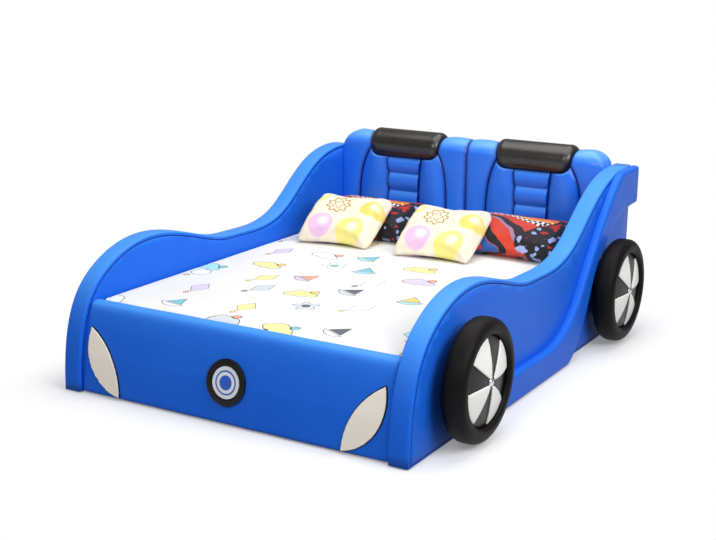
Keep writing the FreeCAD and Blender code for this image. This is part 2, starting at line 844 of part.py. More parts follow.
def stuffed(width, height, thickness, pinch):
    """A pillow lying flat: corners stand out, the four sides draw in and the middle swells."""
    sections = []
    for share in levels(-1.0, 1.0, 8):
        swell = math.sqrt(1 - share ** 4)
        half = height / 2 - pinch * (1 - share ** 2)
        rise = pillow_edge + (thickness / 2 - pillow_edge) * swell
        x = share * width / 2
        corners = [
            V(x, -half, -pillow_edge / 2),
            V(x, -half, pillow_edge / 2),
            V(x, half, pillow_edge / 2),
            V(x, half, -pillow_edge / 2),
        ]
        sections.append(Part.Wire([
            line(corners[0], corners[1]),
            arc(corners[1], V(x, 0, rise), corners[2]),
            line(corners[2], corners[3]),
            arc(corners[3], V(x, 0, -rise), corners[0]),
        ]))
    return Part.makeLoft(sections, True, False)


def lean(shape, x, tilt, yaw):
    """Tips a flat pillow back, turns it a little and lets it down on the mattress."""
    placed = shape.copy()
    placed.rotate(V(0, 0, 0), V(1, 0, 0), tilt)
    placed.rotate(V(0, 0, 0), V(0, 0, 1), yaw)
    lowest = placed.optimalBoundingBox().ZMin
    placed.translate(V(x, 0, mattress_top + rest_gap - lowest))
    return placed


def slide_back(shape, start, against):
    """Moves a leaning pillow to the head end until it all but touches what it leans on."""
    shape.translate(V(0, start, 0))
    for attempt in range(8):
        gap = shape.distToShape(against)[0]
        if gap > 2 * rest_gap:
            shape.translate(V(0, 0.9 * (gap - rest_gap), 0))
    return shape


# ---------------------------------------------------------------- the whole bed
def build():
    nodes = {}
    wheels = {end: wheel(y) for end, y in axles.items()}
    brackets = [corner_bracket(foot_back, 1), corner_bracket(core_front, -1)]
    drills = [bolt(seat, direction, bolt_radius + bolt_clearance) for seat, direction in bolt_places()]
    bolts = [bolt(seat, direction, bolt_radius) for seat, direction in bolt_places()]
    wheel_drills = [wheel_bolt(y, bolt_radius + bolt_clearance) for y in axles.values()]
    wheel_bolts = [wheel_bolt(y, bolt_radius) for y in axles.values()]

    side_drills = {"left": drills, "right": drills + wheel_drills}
    for side in sides:
        cover, core = side_cover_and_core(side)
        nodes["side_cover_" + side] = on_side(cover.cut(side_drills[side]), side)
        nodes["side_core_" + side] = on_side(core.cut(side_drills[side]), side)
        nodes["slat_rail_" + side] = on_side(slat_rail(), side)
    nodes["fender_pad"] = fender_pad()
    for end, pieces in wheels.items():
        pieces["wheel_board"] = pieces["wheel_board"].cut(wheel_drills)
        for name, piece in pieces.items():
            nodes[name + "_" + end] = piece

    both_drills = drills + [mirror(drill) for drill in drills]
    foot_core = footboard_core()
    nodes["footboard_cover"] = above_glides(footboard_body()).cut(foot_core).cut(both_drills)
    nodes["footboard_core"] = foot_core.cut(both_drills)
    lamp = above_glides(on_foot_face(lamp_blank(), lamp_proud))
    for side in sides:
        nodes["headlight_" + side] = on_side(lamp, side)
    ring_blank = badge_blank(badge_radius).cut(badge_blank(badge_hole_radius))
    disc_blank = badge_blank(badge_hole_radius - joint_gap)
    nodes["badge_ring"] = on_foot_face(ring_blank, badge_proud)
    nodes["badge_disc"] = on_foot_face(disc_blank, badge_proud * badge_disc_share)

    head_core = headboard_core()
    nodes["headboard_core"] = head_core.cut(both_drills)
    nodes["headboard_back_cover"] = headboard_back_cover()
    wing = head_wing(head_core)
    center = head_center()
    outer = seat_bolster(lambda z: seam("rib_outer", z) + seam_gap, lambda z: seam("bolster_outer", z))
    inner = seat_bolster(lambda z: seam("bolster_inner", z), lambda z: seam("rib_inner", z) - seam_gap)
    ribs = rib_pad()
    pad = head_pad()
    for side in sides:
        nodes["headboard_wing_" + side] = on_side(wing, side)
        nodes["headboard_center_" + side] = on_side(center, side)
        nodes["seat_bolster_outer_" + side] = on_side(outer, side)
        nodes["seat_bolster_inner_" + side] = on_side(inner, side)
        nodes["seat_rib_pad_" + side] = on_side(ribs, side)
        nodes["head_pad_" + side] = on_side(pad, side)

    nodes["center_beam"] = center_beam()
    nodes["center_legs"] = center_legs()
    nodes["slats"] = slats()
    angles = [bracket.cut(drills) for bracket in brackets]
    nodes["corner_brackets"] = Part.makeCompound(angles + [mirror(angle) for angle in angles])
    nodes["bed_bolts"] = Part.makeCompound(bolts + [mirror(item) for item in bolts] + wheel_bolts)
    nodes["floor_glides"] = glides()

    nodes["mattress"] = mattress()
    pillow = stuffed(pillow_width, pillow_height, pillow_thickness, pillow_pinch)
    cushion = stuffed(cushion_width, cushion_height, cushion_thickness, cushion_pinch)
    for side in sides:
        back = lean(pillow, sides[side] * pillow_center, pillow_tilt, 0)
        back.translate(V(0, head_face - rest_gap - back.optimalBoundingBox().YMax, 0))
        front = lean(cushion, cushion_places[side], cushion_tilt, cushion_yaw[side])
        start = back.optimalBoundingBox().YMin - front.optimalBoundingBox().YMax
        nodes["pillow_back_" + side] = back
        nodes["pillow_front_" + side] = slide_back(front, start, back)
    return nodes


os.makedirs("parts", exist_ok=True)
triangles = 0
for name, shape in build().items():
    result = save(name, shape)
    bounds = result.optimalBoundingBox()
    count = len(result.tessellate(1.0)[1])
    triangles += count
    print("%-28s solids %2d valid %s tri %5d  X %7.1f %7.1f  Y %8.1f %8.1f  Z %6.1f %6.1f" % (
        name, len(result.Solids), result.isValid(), count, bounds.XMin, bounds.XMax,
        bounds.YMin, bounds.YMax, bounds.ZMin, bounds.ZMax))
print("triangles", triangles)
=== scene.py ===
# %% [markdown]
# # A children's car bed, dressed in Blender
# The bed was first built as solids, each in its real place and size. This lesson puts the
# upholstery, the prints, the light and the camera on that frame. Every measure is in metres:
# X runs across the bed, Y from the foot to the head and Z up.

# %% Load the frame
import bpy
import bmesh
import math
from mathutils import Matrix, Vector, kdtree, noise


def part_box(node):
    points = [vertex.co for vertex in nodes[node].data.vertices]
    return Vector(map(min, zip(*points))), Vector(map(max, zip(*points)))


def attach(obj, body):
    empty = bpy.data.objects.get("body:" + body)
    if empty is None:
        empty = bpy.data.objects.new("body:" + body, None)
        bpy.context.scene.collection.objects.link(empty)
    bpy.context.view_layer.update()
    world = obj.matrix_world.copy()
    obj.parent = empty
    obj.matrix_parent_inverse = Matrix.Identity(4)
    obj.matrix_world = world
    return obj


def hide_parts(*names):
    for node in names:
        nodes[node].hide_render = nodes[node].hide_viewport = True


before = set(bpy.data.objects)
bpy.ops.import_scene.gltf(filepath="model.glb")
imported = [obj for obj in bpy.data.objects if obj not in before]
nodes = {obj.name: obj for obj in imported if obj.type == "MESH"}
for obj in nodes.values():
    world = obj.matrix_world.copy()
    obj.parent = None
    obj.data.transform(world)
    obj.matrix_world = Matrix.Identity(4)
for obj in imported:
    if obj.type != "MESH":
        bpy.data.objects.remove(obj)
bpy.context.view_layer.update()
scene = bpy.context.scene

# %% [markdown]
# ## Camera
# The camera stands where the photographer stood: in front of the foot end, to the right, a
# little above the hood. Its place came from matching corners of the bed with the picture, so
# the angles are written as they were found. The matrix is built from three unit vectors.

# %% Camera
TURN = math.radians(30.516)      # to the right of the foot end
LIFT = math.radians(14.391)      # above the horizon
ROLL = math.radians(0.537)
back = Vector((math.sin(TURN) * math.cos(LIFT), -math.cos(TURN) * math.cos(LIFT), math.sin(LIFT)))
level = (-back).cross(Vector((0, 0, 1))).normalized()
upright = level.cross(-back)
right = math.cos(ROLL) * level + math.sin(ROLL) * upright
up = math.cos(ROLL) * upright - math.sin(ROLL) * level
camera = bpy.data.objects.new("camera", bpy.data.cameras.new("camera"))
scene.collection.objects.link(camera)
camera.matrix_world = Matrix((right, up, back)).transposed().to_4x4()
camera.location = (2.87825, -5.118, 1.913)
camera.data.lens = 65.23
camera.data.sensor_width = 36.0
camera.data.shift_x = -0.0006
camera.data.shift_y = 0.0023
scene.camera = camera
print("camera at", tuple(round(v, 3) for v in camera.location))

# %% [markdown]
# ## Shader maths as Python
# A material's pattern is arithmetic: distances, stripes and masks. Wrapping a node's output in
# a small class with the usual operators lets the arithmetic be written as plain expressions,
# while each one still adds an ordinary Math node that the editor can show.

# %% A socket with operators
class Value:
    def __init__(self, sheet, socket):
        self.sheet = sheet
        self.socket = socket

    def math(self, operation, *others):
        return self.sheet.node("ShaderNodeMath", {"operation": operation}, [self, *others])

    def __add__(self, other):
        return self.math("ADD", other)

    def __radd__(self, other):
        return self.math("ADD", other)

    def __sub__(self, other):
        return self.math("SUBTRACT", other)

    def __rsub__(self, other):
        return self.sheet.node("ShaderNodeMath", {"operation": "SUBTRACT"}, [other, self])

    def __mul__(self, other):
        return self.math("MULTIPLY", other)

    def __rmul__(self, other):
        return self.math("MULTIPLY", other)

    def below(self, edge, soft):
        """1 where the value is under the edge, falling to 0 over the soft distance."""
        return self.sheet.node("ShaderNodeMapRange", {"interpolation_type": "SMOOTHSTEP"}, {
            "Value": self, "From Min": edge - soft / 2, "From Max": edge + soft / 2,
            "To Min": 1.0, "To Max": 0.0})


class Sheet:
    """One material with its shader and the nodes that feed it."""

    def __init__(self, name):
        self.material = bpy.data.materials.new(name)
        self.material.use_nodes = True
        self.tree = self.material.node_tree
        self.shader = self.tree.nodes["Principled BSDF"]

    def node(self, kind, settings=None, inputs=None, out=0):
        made = self.tree.nodes.new(kind)
        for key, value in (settings or {}).items():
            if key == "stops":
                self.stops(made.color_ramp, value)
            else:
                setattr(made, key, value)
        pairs = enumerate(inputs) if isinstance(inputs, list) else (inputs or {}).items()
        for key, value in pairs:
            self.feed(made.inputs[key], value)
        return Value(self, made.outputs[out])

    def stops(self, ramp, stops):
        """Fills a colour ramp with plain steps."""
        ramp.interpolation = "CONSTANT"
        while len(ramp.elements) < len(stops):
            ramp.elements.new(1.0)
        for element, (place, tint) in zip(ramp.elements, stops):
            element.position = place
            element.color = tint

    def feed(self, socket, value):
        if isinstance(value, Value):
            self.tree.links.new(value.socket, socket)
        else:
            socket.default_value = value

    def place(self):
        return self.node("ShaderNodeTexCoord", out="Object")

    def split(self, vector):
        made = self.node("ShaderNodeSeparateXYZ", None, [vector])
        return [Value(self, socket) for socket in made.socket.node.outputs]

    def noise(self, vector, scale, detail=2.0):
        return self.node("ShaderNodeTexNoise", None, {"Vector": vector, "Scale": scale, "Detail": detail})

    def mix(self, share, first, second):
        """The first colour where the share is 0 and the second where it is 1."""
        made = self.node("ShaderNodeMix", {"data_type": "RGBA"}, {"Factor": share})
        mixer = made.socket.node
        self.feed(mixer.inputs[6], first)
        self.feed(mixer.inputs[7], second)
        return Value(self, mixer.outputs[2])

    def bump(self, height, distance, strength=1.0, normal=None):
        inputs = {"Height": height, "Distance": distance, "Strength": strength}
        if normal is not None:
            inputs["Normal"] = normal
        return self.node("ShaderNodeBump", None, inputs)

    def finish(self, **sockets):
        for name, value in sockets.items():
            self.feed(self.shader.inputs[name.replace("_", " ")], value)
        return self.material


def colour(red, green, blue):
    """A colour read off a screen, from 0 to 255, as the linear light that shaders use."""
    return tuple((c / 255) ** 2.2 for c in (red, green, blue)) + (1.0,)

# %% [markdown]
# ## Upholstery leather
# The bed is covered in smooth artificial leather. Close up it has a fine pebbled grain, and
# from a step away its colour wanders a little and the surface is never quite flat, because it
# is pulled over foam. Noise at two scales gives both. What faces up is painted paler, a painted
# light from above, and beside a seam and in its channels the seat leather is painted a deeper
# blue, a painted shade, by an attribute that its pads carry. The gloss comes from the shader alone.

# %% Leather
PEBBLES = 620.0                  # cells to the metre
GRAIN = 0.00022                  # height of the pebbled grain
SLACK = 0.0016                   # height of the slow waves over the foam
# share of the painted shade mixed in beside a seam
SEAM_SHADE = 0.85


def leather(name, tint, deep, painted_top_light, roughness, gloss=0.3, seam=None):
    """Leather in two near tints, with a third painted on what faces up as painted light from above, and a
    fourth painted beside its seams as painted shade.
    """
    sheet = Sheet(name)
    place = sheet.place()
    cells = sheet.node("ShaderNodeTexVoronoi", {"feature": "SMOOTH_F1"}, {"Vector": place, "Scale": PEBBLES})
    worn = sheet.noise(place, 14.0, 3.0)
    upward = sheet.split(sheet.node("ShaderNodeNewGeometry", out="Normal"))[2]
    # painted light from above: what faces up is mixed towards the paler third tint
    top_light_share = 1.0 - upward.below(0.55, 0.9)
    base = sheet.mix(sheet.noise(place, 3.2, 2.0) * 0.7 + cells * 0.25, tint, deep)
    base = sheet.mix(top_light_share, base, painted_top_light)
    if seam is not None:
        # Painted shade: beside the seams and in the channels the seat leather darkens to the last tint.
        seam_shade_share = sheet.node("ShaderNodeAttribute", {"attribute_name": "seam"}, out="Fac")
        base = sheet.mix(seam_shade_share * SEAM_SHADE, base, seam)
    foam = sheet.bump(sheet.noise(place, 5.5, 1.0), SLACK)
    skin = sheet.bump(cells, GRAIN, normal=foam)
    return sheet.finish(
        Base_Color=base,
        Roughness=roughness + 0.10 * (worn - 0.5) + 0.05 * cells,
        Normal=skin,
        Specular_IOR_Level=gloss)


# The third tint of each leather is painted light on what faces up; on the dark leathers it is a brownish
# painted highlight.
blue = leather("blue_leather", colour(40, 110, 228), colour(28, 96, 220),
               colour(74, 148, 240), 0.36, gloss=0.10)
# A slightly darker copy of the side blue, with almost no painted light on top, for the fender.
fender_blue = leather("fender_leather", colour(38, 106, 226), colour(28, 94, 218),
                      colour(42, 112, 230), 0.36, gloss=0.10)
# The seat leather's tints are painted lighter than the side blue, a painted highlight on the crowns, and its
# last tint is the painted shade beside its seams.
seat_blue = leather("seat_leather", colour(50, 124, 243), colour(36, 108, 236),
                    colour(96, 168, 250), 0.22, gloss=0.45, seam=colour(6, 34, 122))
# Painted shade for the panels' seam grooves.
groove_shade_blue = leather("groove_shade_blue", colour(10, 42, 128), colour(8, 34, 110),
                    colour(12, 48, 140), 0.5, gloss=0.1)
black = leather("black_leather", colour(34, 28, 24), colour(22, 19, 17),
                colour(40, 34, 29), 0.24, gloss=0.8)
piping_black = leather("piping_black", colour(13, 13, 13), colour(9, 9, 9),
                       colour(16, 16, 16), 0.34, gloss=0.25)
disc_black = leather("disc_leather", colour(24, 22, 21), colour(16, 15, 14),
                     colour(28, 26, 24), 0.34, gloss=0.3)
# Its brownish third tint is a painted highlight on the top of the tread.
tyre_black = leather("tyre_leather", colour(13, 12, 12), colour(8, 8, 8),
                     colour(26, 22, 19), 0.50, gloss=0.14)
white = leather("white_leather", colour(252, 251, 249), colour(244, 242, 238),
                colour(253, 252, 250), 0.36, gloss=0.3)
cream = leather("cream_leather", colour(254, 246, 234), colour(248, 238, 224),
                colour(254, 248, 238), 0.38, gloss=0.4)
print("leathers", [m.name for m in (blue, groove_shade_blue, black, tyre_black, white, cream)])

# %% [markdown]
# ## Making a piece
# Each piece starts as a bmesh, gets its material and rides on a body of the frame. Upholstered
# pieces are foam under leather, so their edges are never sharp. Many of them can start from
# the solid that already has the right place and size: its mesh is copied, its loose triangles
# are merged, and it is rebuilt from small cubes whose vertices then relax. The seams between
# two pads become the soft valleys that sewing makes.

# %% Pieces and their names
MIDDLE = -0.08075                # X of the bed's own middle plane; the wheels shift the origin
BODY = "bed_frame"
SAME_POINT = 0.00002             # vertices nearer than this are one
LUMP_SIZE = 0.12


def piece(name, bm, materials, body=BODY, replaced=()):
    """Turns a bmesh into a named object of the bed."""
    mesh = bpy.data.meshes.new(name)
    bm.to_mesh(mesh)
    bm.free()
    mesh.shade_smooth()
    for material in materials if isinstance(materials, list) else [materials]:
        mesh.materials.append(material)
    made = bpy.data.objects.new(name, mesh)
    scene.collection.objects.link(made)
    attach(made, body)
    if replaced:
        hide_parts(*replaced)
    print(name, len(mesh.polygons), "faces")
    return made


def merged_copy(node):
    """A bmesh of a solid, with its loose triangles joined."""
    bm = bmesh.new()
    bm.from_mesh(nodes[node].data)
    bmesh.ops.remove_doubles(bm, verts=bm.verts, dist=SAME_POINT)
    return bm


def baked(holder):
    """The mesh of an object with its modifiers or its curve worked out."""
    mesh = bpy.data.meshes.new_from_object(holder.evaluated_get(bpy.context.evaluated_depsgraph_get()))
    bm = bmesh.new()
    bm.from_mesh(mesh)
    bpy.data.objects.remove(holder)
    bpy.data.meshes.remove(mesh)
    return bm


def held(bm, name="work"):
    """A passing object that modifiers can work on."""
    mesh = bpy.data.meshes.new(name)
    bm.to_mesh(mesh)
    bm.free()
    holder = bpy.data.objects.new(name, mesh)
    scene.collection.objects.link(holder)
    return holder


def remeshed(bm, voxel):
    """The same shape rebuilt from even quads."""
    holder = held(bm)
    cubes = holder.modifiers.new("cubes", "REMESH")
    cubes.mode = "VOXEL"
    cubes.voxel_size = voxel
    return baked(holder)


def relax(bm, times):
    """Moves every vertex half way to the middle of its neighbours, so many times."""
    for _ in range(times):
        bmesh.ops.smooth_vert(bm, verts=bm.verts, factor=0.5,
                              use_axis_x=True, use_axis_y=True, use_axis_z=True)


def swell(bm, distance):
    """Moves every vertex outwards along its normal."""
    bm.normal_update()
    for vert in bm.verts:
        vert.co += vert.normal * distance


def lumpy(bm, height):
    """Foam is never quite even: raises and sinks the surface in slow waves."""
    bm.normal_update()
    for vert in bm.verts:
        vert.co += vert.normal * height * noise.noise(vert.co / LUMP_SIZE)


def soft_pad(node, name, material, voxel, times, grow=0.001, lumps=0.0, body=BODY,
             shaped=None):
    """Foam under leather in the place of one solid."""
    bm = remeshed(merged_copy(node), voxel)
    relax(bm, times)
    if shaped:
        shaped(bm)
    swell(bm, grow)
    if lumps:
        lumpy(bm, lumps)
    return piece(name, bm, material, body, (node,))


print("helpers for soft pieces")

# %% [markdown]
# ## Side panels
# Each side is a board whose top edge sweeps like a car's wing line: up over the front wheel,
# down to a waist where a child climbs in, and up to the tail. The cover is sewn from two faces
# and a band between them, with a seam a little inside each edge. The outline is one smooth
# NURBS curve; extruding it makes the board, a bevel rounds the foam, and three narrow insets
# of each face press the seam into it.

# %% The outline curve
NOSE = -1.165
TAIL = 1.165
FLOOR_GAP = 0.006
PANEL_IN = 0.76                  # faces of the panels, from the bed's middle
PANEL_OUT = 0.85
PANEL_ROUND = 0.011
UNDER_FLOOR = -0.05              # the outline reaches down to here before it is trimmed
SEAM_INSIDE = 0.005              # from the flat face's edge to its seam
PANEL_CROWN = 0.004
BOARD = {"left": -1, "right": 1}
HOOD_LINE = [
    (NOSE, 0.0), (NOSE, 0.3478), (-0.9672, 0.5627), (-0.5947, 0.6434), (-0.142, 0.484), (-0.015, 0.498)]


def smooth_line(poles, x=0.0, steps=14):
    """Points along a smooth curve drawn towards its poles, given as (y, z)."""
    curve = bpy.data.curves.new("line", "CURVE")
    curve.dimensions = "3D"
    run = curve.splines.new("NURBS")
    run.points.add(len(poles) - 1)
    for point, (y, z) in zip(run.points, poles):
        point.co = (x, y, z, 1.0)
    run.order_u = 4
    run.use_endpoint_u = True
    run.resolution_u = steps
    holder = bpy.data.objects.new("line", curve)
    scene.collection.objects.link(holder)
    bm = baked(holder)
    points = [vert.co.copy() for vert in bm.verts]
    bm.free()
    return points


rims = {
    "left": smooth_line(HOOD_LINE + [(0.418, 0.466), (0.726, 0.82), (1.084, 0.82), (TAIL, 0.775)]),
    "right": smooth_line(HOOD_LINE + [(0.454, 0.466), (0.762, 0.82), (1.084, 0.82)])
    + [Vector((0.0, TAIL, 0.82))],
}
print("rim points", {side: len(points) for side, points in rims.items()})

# %% Board, bevel, seam and crown
def board(points, x_face, x_back):
    """A padded board between two X planes, rounded along its rim."""
    bm = bmesh.new()
    face = bm.faces.new([bm.verts.new((x_face, p.y, p.z)) for p in points])
    turned = bmesh.ops.extrude_face_region(bm, geom=[face])
    moved = [item for item in turned["geom"] if isinstance(item, bmesh.types.BMVert)]
    bmesh.ops.translate(bm, verts=moved, vec=(x_back - x_face, 0, 0))
    bmesh.ops.bisect_plane(bm, geom=bm.verts[:] + bm.edges[:] + bm.faces[:], plane_co=(0, 0, FLOOR_GAP),
                           plane_no=(0, 0, -1), clear_outer=True)
    bmesh.ops.holes_fill(bm, edges=[e for e in bm.edges if e.is_boundary], sides=0)
    bmesh.ops.recalc_face_normals(bm, faces=bm.faces)
    rim = [e for e in bm.edges if abs(e.verts[0].co.x - e.verts[1].co.x) < 1e-6
           and max(v.co.z for v in e.verts) > FLOOR_GAP + 1e-5]
    bmesh.ops.bevel(bm, geom=rim, offset=PANEL_ROUND, offset_type="OFFSET", segments=5, profile=0.5,
                    affect="EDGES", material=-1)
    return bm


def press_seam(bm, face, width=0.0045, depth=0.0026):
    """Insets a face three times, so that a narrow groove runs inside its edge; its faces take the second
    material, a dark blue as painted shade.
    """
    bmesh.ops.inset_region(bm, faces=[face], thickness=SEAM_INSIDE, depth=0.0, use_even_offset=True)
    for down in (-depth, depth):
        groove = bmesh.ops.inset_region(bm, faces=[face], thickness=width / 2, depth=down,
                                        use_even_offset=True)
        for strip in groove["faces"]:
            strip.material_index = 1


def grid_cut(bm, step, axes):
    """Cuts the faces into a grid so that they can swell."""
    for axis in axes:
        across = [vert.co[axis] for vert in bm.verts]
        count = int((max(across) - min(across)) / step)
        for index in range(1, count):
            point = Vector((0, 0, 0))
            point[axis] = min(across) + index * step
            normal = Vector((0, 0, 0))
            normal[axis] = 1.0
            bmesh.ops.bisect_plane(bm, geom=bm.verts[:] + bm.edges[:] + bm.faces[:],
                                   plane_co=point, plane_no=normal)


def crown(bm, x_face, rise, reach):
    """Swells the flat part of a face, more the further it is from its rim."""
    inner = [v for v in bm.verts if abs(v.co.x - x_face) < 1e-5]
    rim = [v for v in inner if any(abs(e.other_vert(v).co.x - x_face) > 1e-5 for e in v.link_edges)]
    tree = kdtree.KDTree(len(rim))
    for index, v in enumerate(rim):
        tree.insert(v.co, index)
    tree.balance()
    for v in inner:
        v.co.x += rise * (1.0 - math.exp(-tree.find(v.co)[2] / reach))


def side_panel(side):
    sign = BOARD[side]
    x_face = MIDDLE + sign * PANEL_OUT
    x_back = MIDDLE + sign * PANEL_IN
    points = [p.copy() for p in rims[side]] + [Vector((0, y, UNDER_FLOOR)) for y in (TAIL, NOSE)]
    bm = board(points, x_face, x_back)
    for flank in [f for f in bm.faces if f.calc_area() > 0.5]:
        press_seam(bm, flank)
    grid_cut(bm, 0.045, (1, 2))
    crown(bm, x_face, sign * PANEL_CROWN, 0.05)
    bmesh.ops.recalc_face_normals(bm, faces=bm.faces)
    return piece("side_panel_" + side, bm, [blue, groove_shade_blue],
                 replaced=("side_cover_" + side,))


for side in BOARD:
    side_panel(side)

# %% [markdown]
# ## Fender pad
# The right-hand side carries a second, raised pad: a low sill behind the front wheel that
# swoops up to the tail like a rear fender. It is one thick piece of foam under leather, so
# it is remade from its solid.

# %% Fender
soft_pad("fender_pad", "fender", fender_blue, 0.006, 6, 0.0008)

# %% [markdown]
# ## Foot end
# The front of the bed is one smooth board that bows back towards its top, where it meets the
# mattress. The two lamps are thin cream pads, pointed at both ends, each ringed by a thin black
# line that is a painted shadow at its edge: a copy of the pad, swollen a little and pushed back.
# The round badge in the middle is a black padded ring about a plain disc.

# %% Footboard, lamps and badge
soft_pad("footboard_cover", "footboard", blue, 0.008, 5, 0.0006, 0.0012)


def shadow_line(node, name, proud=0.0004, back=0.0085):
    """A dark copy behind a pad that shows as a thin line round it, a painted shadow."""
    bm = remeshed(merged_copy(node), 0.003)
    relax(bm, 2)
    swell(bm, proud)
    bmesh.ops.translate(bm, verts=bm.verts, vec=(0, back, 0))
    return piece(name, bm, piping_black)


for side in BOARD:
    soft_pad("headlight_" + side, "lamp_" + side, cream, 0.003, 4, -0.004)
    # Painted shadow: a thin dark line round each lamp.
    shadow_line("headlight_" + side, "lamp_welt_" + side)
soft_pad("badge_ring", "badge_ring_pad", piping_black, 0.003, 5, -0.003)

# %% [markdown]
# ## Headboard
# The headboard copies two car seats: between a wing at each end and a pair of fields in the
# middle stand two seat backs, each a ribbed pad between two side bolsters, with a black head
# pad over the top edge. Every field is a solid of its own, so remaking each one by itself
# leaves the sewn valleys between them.

# %% Fields, bolsters and ribs
def hollow(vert):
    """How far a vertex lies below its neighbours, as a share of their distance."""
    around = [edge.other_vert(vert) for edge in vert.link_edges]
    middle = sum((other.co for other in around), Vector()) / len(around)
    spacing = sum((other.co - vert.co).length for other in around) / len(around)
    return (middle - vert.co).dot(vert.normal) / spacing


def paint_seam_shade(pads, near=0.0035, far=0.024, shallow=0.02, deep=0.10, fall=1.4):
    """Writes 1 beside a neighbouring pad or at the foot of a channel, where shade falls, and 0 on open
    leather: a mask for painted shade.

    Between the two distances, and the two depths, the mark falls off along a soft curve.
    """
    for pad in pads:
        others = [other for other in pads if other is not pad]
        tree = kdtree.KDTree(sum(len(other.data.vertices) for other in others))
        for index, vert in enumerate(v for other in others for v in other.data.vertices):
            tree.insert(vert.co, index)
        tree.balance()
        bm = bmesh.new()
        bm.from_mesh(pad.data)
        shade_marks = []
        for vert in bm.verts:
            beside = (far - tree.find(vert.co)[2]) / (far - near)
            sunk = (hollow(vert) - shallow) / (deep - shallow)
            shade_marks.append(min(1.0, max(0.0, beside, sunk)) ** fall)
        bm.free()
        seam = pad.data.attributes.new("seam", "FLOAT", "POINT")
        seam.data.foreach_set("value", shade_marks)
        print(pad.name, "seam share", round(sum(shade_marks) / len(shade_marks), 3))


SEAT_FIELDS = [                  # node, piece, voxel, relaxing steps and growth
    ("headboard_wing_", "wing_", 0.005, 5, 0.001),
    ("headboard_center_", "middle_field_", 0.005, 3, 0.0016),
    ("seat_bolster_outer_", "bolster_outer_", 0.005, 6, 0.0016),
    ("seat_bolster_inner_", "bolster_inner_", 0.005, 6, 0.0016),
    ("seat_rib_pad_", "ribs_", 0.004, 3, 0.001),
]
seat_pads = []
for side in BOARD:
    for node, name, voxel, times, grow in SEAT_FIELDS:
        seat_pads.append(soft_pad(node + side, name + side, seat_blue, voxel, times, grow))
    seat_pads.append(soft_pad("head_pad_" + side, "head_rest_" + side, black, 0.005, 7))
# Paints shade into the seat pads beside their neighbours and in their channels.
paint_seam_shade(seat_pads)
soft_pad("headboard_back_cover", "back_panel", blue, 0.006, 3, 0.0005)

# %% [markdown]
# ## Wheels
# The wheels don't turn: each is a padded ring about a domed disc with four white petals. A
# ring is a section spun round an axle, which is exactly what the spin operator does. The
# section is a box with round corners, cut off slantwise at the back beside the hole.

# %% Tyres
AXLES = {"front": (-0.784, 0.265), "rear": (0.80, 0.265)}
TYRE_BACK = 0.895                # from the bed's middle plane
TYRE_WIDTH = 0.106
TYRE_RADIUS = 0.25
TYRE_HOLE = 0.184


def tyre_section():
    """(x, r) points round the tyre's section, from the hole outwards over the face."""
    corners = [
        (0.030, TYRE_HOLE, 0.020), (TYRE_WIDTH, TYRE_HOLE, 0.020),
        (TYRE_WIDTH, TYRE_RADIUS, 0.038), (0.0, TYRE_RADIUS, 0.040), (0.0, TYRE_HOLE + 0.02, 0.012)]
    bm = bmesh.new()
    loop = [bm.verts.new((x, 0.0, r)) for x, r, rounding in corners]
    bm.faces.new(loop)
    for vert, (x, r, rounding) in zip(loop, corners):
        bmesh.ops.bevel(bm, geom=[vert], offset=rounding, offset_type="OFFSET", segments=6, profile=0.5,
                        affect="VERTICES", material=-1)
    return bm


def tyre(end):
    axle_y, axle_z = AXLES[end]
    bm = tyre_section()
    bmesh.ops.translate(bm, verts=bm.verts, vec=(MIDDLE + TYRE_BACK, axle_y, axle_z))
    rim = [e for e in bm.edges if e.is_boundary]
    bmesh.ops.delete(bm, geom=bm.faces[:], context="FACES_ONLY")
    bmesh.ops.spin(bm, geom=rim + bm.verts[:], cent=(0, axle_y, axle_z), axis=(1, 0, 0),
                   angle=2 * math.pi, steps=96, use_merge=True)
    bmesh.ops.remove_doubles(bm, verts=bm.verts, dist=SAME_POINT)
    bmesh.ops.recalc_face_normals(bm, faces=bm.faces)
    return piece("tyre_pad_" + end, bm, tyre_black, replaced=("tyre_" + end,))


def fuller_rim(end, rise=0.014):
    """Raises the outer face of the disc towards its rim, so that it stands nearly level in the ring."""
    axle_y, axle_z = AXLES[end]

    def shape(bm):
        for vert in bm.verts:
            reach = math.hypot(vert.co.y - axle_y, vert.co.z - axle_z) / TYRE_HOLE
            if vert.co.x > MIDDLE + TYRE_BACK + TYRE_WIDTH / 3:
                vert.co.x += rise * min(1.0, reach) ** 2
    return shape


for end in AXLES:
    tyre(end)
    soft_pad("wheel_disc_" + end, "disc_pad_" + end, disc_black, 0.004, 3, 0.0005,
             shaped=fuller_rim(end))
    soft_pad("wheel_petals_" + end, "petals_" + end, white, 0.0025, 4, 0.0008,
             shaped=fuller_rim(end))

# %% [markdown]
# ## Bedding
# Pillows and cushions are cloth bags full of fibre. Blender's cloth with a little pressure
# inside and no gravity blows such a bag up from a slightly smaller shape, and the fabric finds
# its own creases; the distance a point may travel is capped, so that it stays in its place.
# Then its corners are drawn in and its upper side is filled out. The mattress is firmer and
# only relaxes.

# %% Plumped by cloth
YAW = {"left": 6.0, "right": 4.0}  # degrees that each cushion is turned; its pillow is drawn to match
PILLOW_TILT = 9.0                # degrees from lying flat
CUSHION_TILT = 27.0


def middle_of(node):
    low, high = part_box(node)
    return tuple((a + b) / 2 for a, b in zip(low, high))


